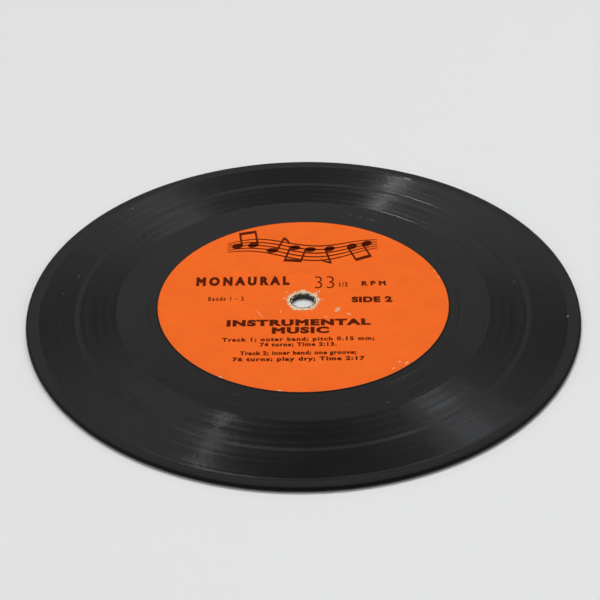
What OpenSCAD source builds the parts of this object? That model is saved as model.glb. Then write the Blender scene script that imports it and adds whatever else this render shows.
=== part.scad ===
// A seven inch record: one pressed vinyl disc with a paper label moulded into each side.
// The origin is the middle of the lower label's face, and +Z is the side with the upper label.

/* [Disc] */
// Outside diameter of the disc
disc_d = 174.6; // [171:0.1:180]
// Thickness over the two label faces
disc_t = 1.9; // [1.7:0.05:2.3]
// Diameter of the spindle hole
hole_d = 7.24; // [7:0.01:7.6]
// Width of the broken edge at each mouth of the spindle hole
hole_break = 0.08; // [0.04:0.01:0.15]

/* [Labels] */
// Diameter of the paper labels
label_d = 92.1; // [85:0.1:94]
// Thickness of the paper
label_t = 0.12; // [0.08:0.01:0.2]
// Diameter of the hole punched in the paper
label_hole_d = 8.2; // [8:0.05:10]
// Gap between the paper's edges and the vinyl round them
label_gap = 0.03; // [0.01:0.01:0.06]
// Diameter of the faint ring that the press leaves in the paper
press_ring_d = 30.2; // [20:0.1:60]
// Width of that ring
press_ring_w = 0.5; // [0.3:0.05:1]
// Depth of that ring
press_ring_h = 0.03; // [0.01:0.01:0.05]

/* [Label shoulder] */
// Width of the flat ridge that borders the label
shoulder_w = 0.15; // [0.1:0.05:0.5]
// Run of the slope from that ridge down to the playing surface
shoulder_run = 0.35; // [0.2:0.05:1]

/* [Rim] */
// Thickness of the disc over its rim bead, which is also the diameter of the round edge
bead_t = 1.65; // [1.6:0.01:1.7]
// Width of the bead's flat crest, inside the round edge
bead_crest_w = 1.3; // [0.8:0.1:2]
// Run of the slope from the crest down to the playing surface
bead_run = 1.0; // [0.5:0.1:1.5]

/* [Playing surface] */
// Thickness of the disc between the two playing surfaces
playing_t = 1.46; // [1.3:0.02:1.54]
// Width of the lead-in, from the bead's slope to the first track
lead_in_w = 1; // [0.9:0.1:2]
// Width of the outer track
outer_track_w = 11.1; // [8:0.1:11.5]
// Width of the smooth ring between the two tracks
spacer_w = 1.6; // [1.2:0.1:2]
// Width of the inner track
inner_track_w = 11.4; // [8:0.1:12]
// From the label's edge to the locked groove
locked_margin = 3.1; // [2:0.1:4]

/* [Grooves] */
// Distance from one modelled turn of a track to the next, where each stands for two real ones
groove_pitch = 0.3; // [0.25:0.05:1]
// Width of a track's groove at the surface
groove_w = 0.06; // [0.05:0.01:0.08]
// Width of the wider groove that leads in, joins the tracks and leads out
lead_groove_w = 0.14; // [0.1:0.01:0.2]
// Distance from the end of a wide groove's spiral to the turn or slope beside it
lead_clear = 0.2; // [0.16:0.01:0.3]
// How much wider than that the locked groove is, so that the lead-out ends inside it
locked_extra_w = 0.04; // [0.02:0.01:0.08]
// Angle between a groove's two walls
groove_angle = 90; // [85:1:95]
// Half turns of the lead-in groove
lead_in_half_turns = 2; // [1:1:3]
// Half turns of the groove between the two tracks
spacer_half_turns = 2; // [1:1:4]
// Half turns of the lead-out groove
lead_out_half_turns = 5; // [3:1:8]
// Direction in which the lead-out groove starts
lead_out_azimuth = 225; // [0:5:355]

/* [Hidden] */
$fn = 180;

// Steps round the half circle of the edge
edge_steps = 16;

VINYL = [0.13, 0.13, 0.13];
PAPER = [0.93, 0.41, 0.16];

disc_r = disc_d / 2;
hole_r = hole_d / 2;
label_r = label_d / 2;
label_hole_r = label_hole_d / 2;
press_ring_r = press_ring_d / 2;
face_h = disc_t / 2;
surface_h = playing_t / 2;
seat_h = face_h - label_t;

// Radii from the label outwards, where the label's zone meets the playing surface
ridge_in_r = label_r + label_gap;
ridge_out_r = ridge_in_r + shoulder_w;
shoulder_foot_r = ridge_out_r + shoulder_run;
locked_r = label_r + locked_margin;

// Radii from the rim inwards
round_r = bead_t / 2;
bead_out_r = disc_r - round_r;
bead_in_r = bead_out_r - bead_crest_w;
bead_foot_r = bead_in_r - bead_run;

// Each track holds the nearest whole number of turns, counted inwards from its outer edge
outer_turns = round(outer_track_w / groove_pitch);
inner_turns = round(inner_track_w / groove_pitch);
outer_start_r = bead_foot_r - lead_in_w;
outer_end_r = outer_start_r - outer_turns * groove_pitch;
inner_start_r = outer_end_r - spacer_w;
inner_end_r = inner_start_r - inner_turns * groove_pitch;

// Depth of a groove of width w
function groove_depth(w) = w / 2 / tan(groove_angle / 2);

// The three points of one turn of a groove in the half section, from the label outwards
function groove_notch(r, w) = [
    [r - w / 2, surface_h],
    [r, surface_h - groove_depth(w)],
    [r + w / 2, surface_h]
];

// The turns of a track that ends at radius end_r
function track(end_r, turns) = [
    for (turn = [0 : turns]) each groove_notch(end_r + turn * groove_pitch, groove_w)
];

// One face of the disc, from the spindle hole out to the round edge, as heights over mid thickness
face_line = concat(
    [
        [hole_r, face_h - hole_break],
        [hole_r + hole_break, face_h],
        [label_hole_r - label_gap, face_h],
        [label_hole_r - label_gap, seat_h],
        [ridge_in_r, seat_h],
        [ridge_in_r, face_h],
        [ridge_out_r, face_h],
        [shoulder_foot_r, surface_h]
    ],
    groove_notch(locked_r, lead_groove_w + locked_extra_w),
    track(inner_end_r, inner_turns),
    track(outer_end_r, outer_turns),
    [
        [bead_foot_r, surface_h],
        [bead_in_r, round_r],
        [bead_out_r, round_r]
    ]
);

// The same line for the other face, in the order that closes the outline
function other_face(line) = [
    for (i = [len(line) - 1 : -1 : 0]) [line[i][0], -line[i][1]]
];

// The round edge, from the upper crest down to the lower one
edge_line = [
    for (i = [1 : edge_steps - 1])
        let (angle = 90 - 180 * i / edge_steps)
            [bead_out_r + round_r * cos(angle), round_r * sin(angle)]
];

module disc_blank() {
    rotate_extrude()
        polygon(concat(face_line, edge_line, other_face(face_line)));
}

// Half a turn of a wide groove, round the origin and on the side of +Y
module half_turn(r) {
    rotate_extrude(angle = 180)
        polygon(concat(
            groove_notch(r, lead_groove_w),
            [[r + lead_groove_w / 2, face_h], [r - lead_groove_w / 2, face_h]]
        ));
}

// A spiral inwards from start_r to end_r, counter-clockwise, as half turns about two centres
module spiral(start_r, end_r, half_turns) {
    step = (start_r - end_r) / half_turns;
    for (i = [0 : half_turns - 1])
        rotate(180 * i)
            translate([step / 2, 0])
                half_turn(start_r - (i + 0.5) * step);
}

// The spirals of one side. Each keeps lead_clear from the turns of a track
module lead_grooves() {
    rotate(lead_out_azimuth) {
        spiral(inner_end_r - lead_clear, locked_r, lead_out_half_turns);
        spiral(outer_end_r - lead_clear, inner_start_r + lead_clear, spacer_half_turns);
        spiral(bead_foot_r - lead_clear, outer_start_r + lead_clear, lead_in_half_turns);
    }
}

module vinyl_disc() {
    color(VINYL)
        translate([0, 0, face_h])
            difference() {
                disc_blank();
                lead_grooves();
                rotate([180, 0, 0]) lead_grooves();
            }
}

// A label that lies on z = 0 with its printed face up
module label() {
    color(PAPER)
        rotate_extrude()
            polygon([
                [label_hole_r, 0],
                [label_r, 0],
                [label_r, label_t],
                [press_ring_r + press_ring_w / 2, label_t],
                [press_ring_r, label_t - press_ring_h],
                [press_ring_r - press_ring_w / 2, label_t],
                [label_hole_r, label_t]
            ]);
}

module label_top() {
    translate([0, 0, disc_t - label_t]) label();
}

module label_bottom() {
    translate([0, 0, label_t]) rotate([180, 0, 0]) label();
}

vinyl_disc();
label_top();
label_bottom();
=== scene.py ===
"""A seven inch record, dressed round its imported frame: vinyl, cut grooves, paper labels and a studio."""

import math

import bmesh
import bpy
from mathutils import Matrix, Vector, noise


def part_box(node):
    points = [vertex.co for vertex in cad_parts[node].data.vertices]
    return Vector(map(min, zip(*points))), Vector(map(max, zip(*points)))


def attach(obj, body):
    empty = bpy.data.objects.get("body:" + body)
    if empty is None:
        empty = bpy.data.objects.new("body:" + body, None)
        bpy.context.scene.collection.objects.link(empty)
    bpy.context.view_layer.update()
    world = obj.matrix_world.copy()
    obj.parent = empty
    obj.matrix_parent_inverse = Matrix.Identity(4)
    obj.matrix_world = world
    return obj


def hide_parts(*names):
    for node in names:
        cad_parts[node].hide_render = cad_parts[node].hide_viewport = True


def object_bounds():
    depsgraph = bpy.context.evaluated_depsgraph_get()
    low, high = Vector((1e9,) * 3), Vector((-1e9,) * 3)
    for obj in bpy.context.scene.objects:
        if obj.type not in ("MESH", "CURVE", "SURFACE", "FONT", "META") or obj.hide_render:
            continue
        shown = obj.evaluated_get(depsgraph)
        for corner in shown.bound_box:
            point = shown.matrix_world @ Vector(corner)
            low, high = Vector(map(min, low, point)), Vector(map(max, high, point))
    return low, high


bl_info = {
    "name": "Seven Inch Record",
    "version": (1, 0, 0),
    "blender": (4, 5, 0),
    "location": "3D View > Sidebar > Record",
    "description": "Builds a pressed vinyl record with its grooves, paper labels and studio",
    "category": "Object",
}

MM = 0.001
BODY = "root"
# Points nearer than this are one: in letters of size 1, and where a tree joins its meshes
LETTER_SEAM = 0.0001
TREE_SEAM = 0.0003 * MM

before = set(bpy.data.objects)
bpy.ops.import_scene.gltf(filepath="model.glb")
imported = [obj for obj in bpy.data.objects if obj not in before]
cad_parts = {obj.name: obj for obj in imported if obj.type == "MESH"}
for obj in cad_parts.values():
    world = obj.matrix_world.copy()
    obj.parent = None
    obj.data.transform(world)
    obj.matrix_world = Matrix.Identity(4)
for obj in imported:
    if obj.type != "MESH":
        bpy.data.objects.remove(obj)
CAD_LOW, CAD_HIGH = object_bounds()
LABEL_LOW, LABEL_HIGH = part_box("label_top")


def length(name, description, mm):
    """A length property whose default is given in millimetres."""
    return bpy.props.FloatProperty(
        name=name, description=description, default=mm * MM, precision=5, unit="LENGTH", subtype="DISTANCE"
    )


def share(name, description, value):
    """A plain number property."""
    return bpy.props.FloatProperty(name=name, description=description, default=value, precision=4)


def count(name, description, value):
    """A whole number property."""
    return bpy.props.IntProperty(name=name, description=description, default=value, min=1)


def angle(name, description, degrees):
    """An angle property whose default is given in degrees."""
    return bpy.props.FloatProperty(
        name=name, description=description, default=math.radians(degrees), unit="ROTATION", subtype="ANGLE"
    )


def linear(level):
    """The linear value of one screen colour level from 0 to 255."""
    part = level / 255
    return part / 12.92 if part <= 0.04045 else ((part + 0.055) / 1.055) ** 2.4


def colour(name, description, *levels):
    """A colour property whose default is given as three screen levels from 0 to 255."""
    return bpy.props.FloatVectorProperty(
        name=name, description=description, size=3, subtype="COLOR", min=0, max=1,
        default=[linear(level) for level in levels],
    )


class RecordDiscSizes(bpy.types.PropertyGroup):
    """The pressed disc without its tracks"""

    disc_r: length("Disc radius", "From the axis to the round edge", CAD_HIGH.x / MM)
    disc_t: length("Thickness", "Over the two label faces", (CAD_HIGH.z - CAD_LOW.z) / MM)
    hole_r: length("Hole radius", "Radius of the spindle hole", 3.62)
    hole_break: length("Hole break", "Broken edge at each mouth of the hole", 0.08)
    collar_r: length("Collar radius", "Vinyl round the hole, inside the paper", 4.07)
    collar_drop: length("Collar drop", "How far the worn collar lies under the ridge", 0.04)
    ridge_w: length("Ridge", "Flat ridge that borders the label", 0.15)
    shoulder_run: length("Shoulder", "Slope from the ridge to the playing surface", 0.35)
    label_gap: length("Label gap", "Between the paper and the ridge", 0.03)
    playing_t: length("Playing thickness", "Between the two playing surfaces", 1.46)
    bead_t: length("Bead thickness", "Over the rim bead, also the round edge's diameter", 1.65)
    bead_crest_w: length("Bead crest", "Flat crest inside the round edge", 0.2)
    bead_run: length("Bead slope", "Slope from the crest to the playing surface", 2.1)
    locked_r: length("Locked groove radius", "Radius of the closed groove at the end", 49.15)
    locked_w: length("Locked groove width", "Width of the closed groove", 0.12)
    bed_h: length("Bed depth", "Depth of the bed that holds the grooved rings", 0.12)
    flat_strip: length("Flat strip", "Narrow strip beside a slope that keeps the flat beside it flat", 0.06)
    segments: count("Segments", "Steps round the disc", 360)


class RecordGrooveSizes(bpy.types.PropertyGroup):
    """The grooved rings of one side"""

    lead_in_w: length("Lead-in", "Width of the lead-in ring", 1.0)
    outer_track_w: length("Outer track", "Width of the outer track", 11.1)
    spacer_w: length("Spacer", "Smooth ring between the tracks", 1.6)
    inner_track_w: length("Inner track", "Width of the inner track", 11.4)
    pitch: length("Pitch", "From one turn of a track to the next", 0.15)
    groove_w: length("Groove width", "Width of a track's groove", 0.1)
    wide_w: length("Wide groove", "Width of the lead-in and lead-out groove", 0.08)
    lead_in_pitch: length("Lead-in pitch", "Pitch of the lead-in spiral", 0.9)
    spacer_pitch: length("Spacer pitch", "Pitch of the spiral between the tracks", 1.2)
    lead_out_pitch: length("Lead-out pitch", "Pitch of the lead-out spiral", 4.0)
    groove_angle: angle("Groove angle", "Between a groove's two walls", 90)
    start: angle("Start", "Direction in which each spiral starts", 225)
    swing: length("Swing", "How far the cut sways from its spiral", 0.008)
    swing_scale: share("Swing scale", "Sways per metre", 260.0)
    width_change: share("Width change", "How much the width changes with loudness", 0.28)
    loud_scale: share("Loudness scale", "Loud and quiet passages per metre of radius", 420.0)


class RecordLabelSizes(bpy.types.PropertyGroup):
    """The two paper labels and their print"""

    label_r: length("Label radius", "From the axis to the paper's edge", LABEL_HIGH.x / MM)
    label_t: length("Paper", "Thickness of the paper", (LABEL_HIGH.z - LABEL_LOW.z) / MM)
    hole_r: length("Paper hole", "Radius of the hole in the paper", 4.1)
    face_drop: length("Face drop", "How far the paper lies under the ridge", 0.015)
    edge_round: length("Edge round", "Rounding of the paper's edge", 0.03)
    ring_r: length("Press ring", "Radius of the ring left by the press", 15.1)
    ring_w: length("Press ring width", "Width of that ring", 0.5)
    ring_h: length("Press ring depth", "Depth of that ring", 0.02)
    torn_r: length("Torn radius", "Mean reach of the torn paper round the hole", 5.05)
    torn_change: length("Torn change", "How ragged that reach is", 0.95)
    torn_grain: length("Torn grain", "Size of the ragged pieces", 0.75)
    torn_soft: length("Torn softness", "Width over which the print fades into bare paper", 0.22)
    torn_end: length("Torn end", "Radius past which the paper is whole", 7.4)
    torn_h: length("Torn depth", "How deep the printed layer is torn", 0.035)
    hole_change: length("Hole wear", "How far the paper's hole is worn back", 0.35)
    fibres: count("Fibres", "Loose paper fibres round the hole", 150)
    fibre_l: length("Fibre length", "Length of a loose fibre", 0.85)
    fibre_w: length("Fibre width", "Width of a loose fibre", 0.17)
    fibre_h: length("Fibre height", "Thickness of a loose fibre", 0.02)
    ink_h: length("Ink height", "How far the print stands on the paper", 0.006)
    ink_sunk: length("Ink sunk", "How far the print reaches into the paper", 0.003)
    ribbon_l: length("Ribbon length", "Length of the waving ribbon of lines", 50.0)
    ribbon_y: length("Ribbon middle", "From the spindle hole to the ribbon's middle", 29.5)
    ribbon_gap: length("Ribbon gap", "From one line to the next", 2.2)
    ribbon_sway: length("Ribbon sway", "How far the ribbon waves to each side", 2.6)
    ribbon_line: length("Ribbon line", "Width of a line", 0.75)
    note_l: length("Note length", "Length of a note's head", 3.9)
    note_w: length("Note width", "Width of a note's head", 2.9)
    note_stem: length("Note stem", "From the head's middle to the stem's end", 8.6)
    note_stroke: length("Note stroke", "Width of a stem", 0.7)
    note_pair: length("Note pair", "From one head of a pair to the other", 5.3)
    segments: count("Segments", "Steps round the label", 720)


class RecordColours(bpy.types.PropertyGroup):
    """The colours of the record and its floor"""

    vinyl: colour("Vinyl", "Black pressed vinyl", 11, 11, 12)
    paper: colour("Paper", "Printed orange of the label", 240, 103, 29)
    torn: colour("Torn paper", "Bare paper where the print is gone", 232, 212, 182)
    # Painted shade: a grey that stands for the shade between the torn paper's fibres
    fibre_shade: colour("Painted fibre shade", "Grey parts of the bare paper", 148, 142, 116)
    ink: colour("Ink", "Dark print on the label", 78, 21, 2)
    dust: colour("Dust", "Dust on the vinyl", 150, 148, 144)
    floor: colour("Floor", "Pale studio floor", 226, 226, 226)


class RecordStudioSizes(bpy.types.PropertyGroup):
    """The camera and the floor"""

    camera_back: length("Camera back", "Camera in front of the spindle", 396.11)
    camera_up: length("Camera up", "Camera over the label", 283.41)
    aim_x: length("Aim across", "Aim right of the spindle", -0.98)
    aim_y: length("Aim along", "Aim behind the spindle", 0.30)
    roll: angle("Roll", "Turn of the camera about its own axis", -0.82)
    lens: share("Lens", "Focal length in millimetres", 92.09)
    floor_half: length("Floor", "Half width of the floor", 9000.0)


GROUPS = (
    (RecordDiscSizes, "record_disc"),
    (RecordGrooveSizes, "record_grooves"),
    (RecordLabelSizes, "record_labels"),
    (RecordColours, "record_colours"),
    (RecordStudioSizes, "record_studio"),
)


def record_sizes(context):
    """The settings of the disc, the grooves, the labels, the colours and the studio."""
    return [getattr(context.scene, name) for _, name in GROUPS]


# Node trees


class Value:
    """A socket of a node tree, on which the signs of arithmetic add Math nodes."""

    def __init__(self, graph, socket):
        self.graph = graph
        self.socket = socket

    def __add__(self, other):
        return self.graph.math("ADD", self, other)

    def __sub__(self, other):
        return self.graph.math("SUBTRACT", self, other)

    def __rsub__(self, other):
        return self.graph.math("SUBTRACT", other, self)

    def __mul__(self, other):
        return self.graph.math("MULTIPLY", self, other)

    def __truediv__(self, other):
        return self.graph.math("DIVIDE", self, other)


class Graph:
    """Short calls that add and link the nodes of one tree."""

    def __init__(self, tree):
        self.tree = tree

    def put(self, socket, value):
        """Links a value into a socket, or gives it a plain number, vector or colour."""
        if isinstance(value, Value):
            self.tree.links.new(value.socket, socket)
        else:
            socket.default_value = value

    def node(self, kind, inputs=None, **settings):
        """A node of that kind, with its settings and inputs."""
        made = self.tree.nodes.new(kind)
        for name, value in settings.items():
            setattr(made, name, value)
        for key, value in (inputs or {}).items():
            self.put(made.inputs[key], value)
        return made

    def value(self, kind, inputs=None, output=0, **settings):
        """One output of a new node of that kind."""
        return Value(self, self.node(kind, inputs, **settings).outputs[output])

    def outputs_of(self, made):
        """The outputs of a node by name."""
        return {socket.name: Value(self, socket) for socket in made.outputs}

    def group(self, name, inputs):
        """The outputs by name of a shared shader group, which is built when it is first asked for."""
        tree = bpy.data.node_groups.get(name) or GROUP_MAKERS[name](name)
        return self.outputs_of(self.node("ShaderNodeGroup", inputs, node_tree=tree))

    def math(self, operation, *values):
        """The result of a Math node."""
        return self.value("ShaderNodeMath", dict(enumerate(values)), operation=operation)

    def direction(self, azimuth):
        """The cosine and the sine of an angle."""
        return self.math("COSINE", azimuth), self.math("SINE", azimuth)

    def around(self, value, change, middle=1.0):
        """A value from 0 to 1 as one that strays by half that change to each side of a middle."""
        return (value - 0.5) * change + middle

    def vector(self, operation, *values):
        """The vector that a Vector Math node gives."""
        return self.value("ShaderNodeVectorMath", dict(enumerate(values)), "Vector", operation=operation)

    def scaled(self, place, factor):
        """A place times one factor."""
        return self.value(
            "ShaderNodeVectorMath", {"Vector": place, "Scale": factor}, "Vector", operation="SCALE"
        )

    def reach(self, x, y):
        """The distance of a flat place from the axis."""
        return self.value("ShaderNodeVectorMath", {0: self.join(x, y, 0.0)}, "Value", operation="LENGTH")

    def join(self, x, y, z):
        """A vector from its three parts."""
        return self.value("ShaderNodeCombineXYZ", {0: x, 1: y, 2: z})

    def parts(self, place):
        """The three parts of a vector."""
        return self.outputs_of(self.node("ShaderNodeSeparateXYZ", {0: place})).values()

    def blur(self, value, low, high):
        """0 below low and 1 above high, with a soft step between."""
        return self.value(
            "ShaderNodeMapRange", {"Value": value, "From Min": low, "From Max": high},
            interpolation_type="SMOOTHSTEP",
        )

    def grain(self, place, scale, detail=2.0, rough=0.5):
        """Noise from 0 to 1 at that scale."""
        return self.value(
            "ShaderNodeTexNoise",
            {"Vector": place, "Scale": scale, "Detail": detail, "Roughness": rough},
        )

    def line_grain(self, place, scale, detail=2.0):
        """Noise from 0 to 1 along one number."""
        return self.value(
            "ShaderNodeTexNoise", {"W": place, "Scale": scale, "Detail": detail}, noise_dimensions="1D"
        )

    def stretched(self, place, turn, along):
        """A place turned about Z and drawn out along one direction."""
        return self.value(
            "ShaderNodeMapping", {"Vector": place, "Rotation": (0, 0, turn), "Scale": (along, 1, 1)}
        )

    def mix(self, part, first, second):
        """A colour between two colours."""
        return self.value(
            "ShaderNodeMix", {"Factor": part, "A": first, "B": second}, "Result", data_type="RGBA"
        )

    def shaded(self, shade, tint):
        """A colour whose brightness is multiplied by a shade."""
        return self.value("ShaderNodeHueSaturation", {"Value": shade, "Color": tint})

    def bump(self, height, strength, depth, **more):
        """A normal bent by a height of that depth in mm."""
        return self.value(
            "ShaderNodeBump", {"Height": height, "Strength": strength, "Distance": depth * MM, **more}
        )

    def end(self, results):
        """The output node of a group, with its results by name."""
        self.node("NodeGroupOutput", results)


def new_tree(kind, name, inputs, outputs):
    """The graph and the inputs of a new node group whose sockets are named by kind."""
    tree = bpy.data.node_groups.new(name, f"{kind}NodeTree")
    for in_out, sockets in (("INPUT", inputs), ("OUTPUT", outputs)):
        for socket_kind, names in sockets.items():
            for socket_name in names:
                tree.interface.new_socket(
                    socket_name, in_out=in_out, socket_type=f"NodeSocket{socket_kind}"
                )
    graph = Graph(tree)
    return graph, graph.outputs_of(graph.node("NodeGroupInput"))


def rgba(value):
    """A colour property as the four numbers that a socket takes."""
    return (*value, 1.0)


# Meshes


def link_object(name, data):
    """A new object in the scene."""
    made = bpy.data.objects.new(name, data)
    bpy.context.collection.objects.link(made)
    return made


def plain_mesh(holder):
    """The finished mesh of an object, which is taken away."""
    depsgraph = bpy.context.evaluated_depsgraph_get()
    mesh = bpy.data.meshes.new_from_object(holder.evaluated_get(depsgraph))
    holder.modifiers.clear()
    bpy.data.objects.remove(holder)
    return mesh


def mesh_of(name, points, faces):
    """A mesh from its points and faces."""
    mesh = bpy.data.meshes.new(name)
    mesh.from_pydata(points, [], faces)
    return mesh


def round_mesh(name, outlines):
    """A closed mesh round the axis from one closed outline of (radius, height) for each step."""
    points = []
    faces = []
    segments = len(outlines)
    ring = len(outlines[0])
    for step, outline in enumerate(outlines):
        azimuth = math.tau * step / segments
        points += [(r * math.cos(azimuth), r * math.sin(azimuth), z) for r, z in outline]
        here = step * ring
        there = (step + 1) % segments * ring
        for i in range(ring):
            after = (i + 1) % ring
            faces.append((here + i, here + after, there + after, there + i))
    return mesh_of(name, points, faces)


def smooth_mesh(mesh, crease):
    """Shades a mesh smooth, but for its edges sharper than crease."""
    mesh.shade_smooth()
    mesh.set_sharp_from_angle(angle=math.radians(crease))


def add_piece(name, mesh, replaced=()):
    """A finished piece in the scene, riding on the frame."""
    mesh.name = name
    piece = link_object(name, mesh)
    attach(piece, BODY)
    if replaced:
        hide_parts(*replaced)
    return piece


def under_side(mesh, disc_t):
    """Turns a mesh of the upper side into one of the lower side."""
    mesh.transform(Matrix.Translation((0, 0, disc_t)) @ Matrix.Rotation(math.pi, 4, "X"))


def eased(start, end, steps):
    """The points of a soft slope between two (radius, height) points, its ends left out."""
    points = []
    for i in range(1, steps):
        part = i / steps
        ease = part * part * (3 - 2 * part)
        points.append((start[0] + (end[0] - start[0]) * part, start[1] + (end[1] - start[1]) * ease))
    return points


def band_edges(disc, grooves):
    """The radii between the grooved rings, from the rim bead inwards."""
    edges = [disc.disc_r - disc.bead_t / 2 - disc.bead_crest_w - disc.bead_run]
    for width in (grooves.lead_in_w, grooves.outer_track_w, grooves.spacer_w, grooves.inner_track_w):
        edges.append(edges[-1] - width)
    edges.append(disc.locked_r + disc.locked_w / 2 + disc.label_gap)
    return edges


def body_outline(disc, labels, edges):
    """The half section of the disc with a bed for the grooved rings on each side."""
    middle = disc.disc_t / 2
    surface = disc.playing_t / 2
    seat = middle - labels.label_t
    collar = middle - disc.collar_drop
    bed = surface - disc.bed_h
    ridge_in = labels.label_r + disc.label_gap
    ridge_out = ridge_in + disc.ridge_w
    shoulder_foot = ridge_out + disc.shoulder_run
    edge_r = disc.bead_t / 2
    edge_at = disc.disc_r - edge_r
    bead_in = edge_at - disc.bead_crest_w
    slope_steps = 12
    edge_steps = 32
    # Narrow strips beside the slopes keep the flats flat under smooth shading
    strip = disc.flat_strip
    face = [
        (disc.hole_r, collar - disc.hole_break),
        (disc.hole_r + disc.hole_break, collar),
        (disc.collar_r, collar),
        (disc.collar_r, seat),
        (ridge_in, seat),
        (ridge_in, middle),
        (ridge_out, middle),
        *eased((ridge_out, middle), (shoulder_foot, surface), slope_steps),
        (shoulder_foot, surface),
        (shoulder_foot + strip, surface),
        (disc.locked_r - disc.locked_w / 2, surface),
        (disc.locked_r, surface - disc.locked_w / 2),
        (disc.locked_r + disc.locked_w / 2, surface),
        (edges[-1], surface),
        (edges[-1], bed),
        (edges[0], bed),
        (edges[0], surface),
        *eased((edges[0], surface), (bead_in, edge_r), slope_steps),
        (bead_in, edge_r),
        (bead_in + strip, edge_r),
        (edge_at - strip, edge_r),
        (edge_at, edge_r),
    ]
    edge = []
    for i in range(1, edge_steps):
        turn = math.pi / 2 - math.pi * i / edge_steps
        edge.append((edge_at + edge_r * math.cos(turn), edge_r * math.sin(turn)))
    other = [(r, -z) for r, z in reversed(face)]
    return [(r, z + middle) for r, z in face + edge + other]


# Geometry node trees

GEOMETRY = {"Geometry": ("Geometry",)}


def grid_place(graph, columns):
    """The row and the column of each point of a grid."""
    index = graph.value("GeometryNodeInputIndex")
    row = graph.math("FLOOR", index / columns)
    return row, index - row * columns


def placed_grid(graph, rows, columns, place):
    """A grid with each of its points put in its place."""
    grid = graph.value("GeometryNodeMeshGrid", {"Vertices X": rows, "Vertices Y": columns})
    return graph.value("GeometryNodeSetPosition", {"Geometry": grid, "Position": place})


def welded(graph, *meshes):
    """Several meshes as one, with their seams closed."""
    joined = graph.node("GeometryNodeJoinGeometry")
    for mesh in meshes:
        graph.put(joined.inputs[0], mesh)
    return graph.value(
        "GeometryNodeMergeByDistance",
        {"Geometry": Value(graph, joined.outputs[0]), "Distance": TREE_SEAM},
    )


def finish_tree(graph, geometry, material, other=None):
    """Ends a tree with smooth shading, sharp creases, real geometry and its materials."""
    crease = math.radians(24)
    bend = graph.value("GeometryNodeInputMeshEdgeAngle")
    creased = graph.value(
        "GeometryNodeStoreNamedAttribute",
        {"Geometry": geometry, "Name": "sharp_edge", "Value": graph.math("GREATER_THAN", bend, crease)},
        data_type="BOOLEAN", domain="EDGE",
    )
    shaded = graph.value("GeometryNodeSetShadeSmooth", {0: creased})
    real = graph.value("GeometryNodeRealizeInstances", {0: shaded})
    painted = graph.value("GeometryNodeSetMaterial", {"Geometry": real, "Material": material})
    if other:
        painted = graph.value(
            "GeometryNodeSetMaterial", {"Geometry": painted, "Selection": other[0], "Material": other[1]}
        )
    graph.end({"Geometry": painted})
    return graph.tree


def band_tree():
    """A closed ring whose top holds a spiral groove, from the outer edge inwards."""
    graph, given = new_tree("Geometry", "Grooved Ring", {
        "Float": (
            "Outer Radius", "Inner Radius", "Pitch", "Groove Width", "Groove Angle", "Top", "Bottom",
            "Start", "Swing", "Swing Scale", "Width Change", "Loudness Scale", "Seed",
        ),
        "Int": ("Steps", "Total Steps"),
        "Material": ("Flat Material", "Wall Material"),
    }, GEOMETRY)
    outer = given["Outer Radius"]
    inner = given["Inner Radius"]
    pitch = given["Pitch"]
    top = given["Top"]
    columns = 4
    step, column = grid_place(graph, columns)
    part = graph.math("MODULO", step, given["Steps"]) / given["Steps"]
    across, along = graph.direction(part * math.tau + given["Start"])
    past = [graph.math("GREATER_THAN", column, i + 0.5) for i in range(columns - 1)]

    def ring_place(radius, height):
        """The place at a radius and a height, in each step's direction."""
        return graph.join(radius * across, radius * along, height)

    # The lips and the bottom of the groove at each step, and the next turn's outer lip
    lip_r = outer + pitch - step / given["Steps"] * pitch
    loud = graph.line_grain(lip_r + given["Seed"], given["Loudness Scale"])
    width = given["Groove Width"] * graph.around(loud, given["Width Change"])
    half = width * 0.5
    spiral_r = lip_r - (past[0] * half + past[1] * half + past[2] * (pitch - width))
    sway = graph.grain(ring_place(spiral_r, given["Seed"]), given["Swing Scale"])
    swung_r = graph.around(sway, given["Swing"], spiral_r)
    # A lip that comes very near an edge of the ring is taken past it, so that no sliver is left
    snap = 0.002 * MM
    at_outer = graph.math("GREATER_THAN", swung_r, outer - snap)
    at_inner = graph.math("LESS_THAN", swung_r, inner + snap)
    swung_r = (at_outer - at_inner) * snap + swung_r
    radius = graph.math("MAXIMUM", inner, graph.math("MINIMUM", outer, swung_r))
    # The groove runs out where its turn passes an edge of the ring
    inside = graph.math("MINIMUM", outer - swung_r, swung_r - inner)
    full = graph.value(
        "ShaderNodeMapRange", {"Value": inside, "From Min": 0.0, "From Max": half}, clamp=True
    )
    depth = half / graph.math("TANGENT", given["Groove Angle"] * 0.5) * full
    is_bottom = past[0] - past[1]
    face = placed_grid(
        graph, given["Total Steps"] + 1, columns, ring_place(radius, top - is_bottom * depth)
    )

    # The inner wall, the underside and the outer wall of the ring
    is_under = past[0] - past[2]
    shell = placed_grid(
        graph, given["Steps"] + 1, columns,
        ring_place(inner + past[1] * (outer - inner), top - is_under * (top - given["Bottom"])),
    )
    # The two walls of the groove lean, where the rest of the ring is level or upright
    _, _, lean = graph.parts(graph.value("GeometryNodeInputNormal"))
    lean_margin = 0.2
    is_wall = graph.math("COMPARE", lean, math.cos(math.radians(45)), lean_margin)
    return finish_tree(
        graph, welded(graph, shell, face), given["Flat Material"], (is_wall, given["Wall Material"])
    )


def grown_mesh(tree, name, values, base=None):
    """The plain mesh that a geometry tree gives for those values."""
    holder = link_object(name, base or bpy.data.meshes.new(name))
    modifier = holder.modifiers.new(name, "NODES")
    modifier.node_group = tree
    names = {
        item.name: item.identifier
        for item in tree.interface.items_tree
        if item.item_type == "SOCKET" and item.in_out == "INPUT"
    }
    for key, value in values.items():
        modifier[names[key]] = value
    mesh = plain_mesh(holder)
    if not mesh.polygons:
        raise RuntimeError(f"{name} came out empty")
    return mesh


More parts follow.
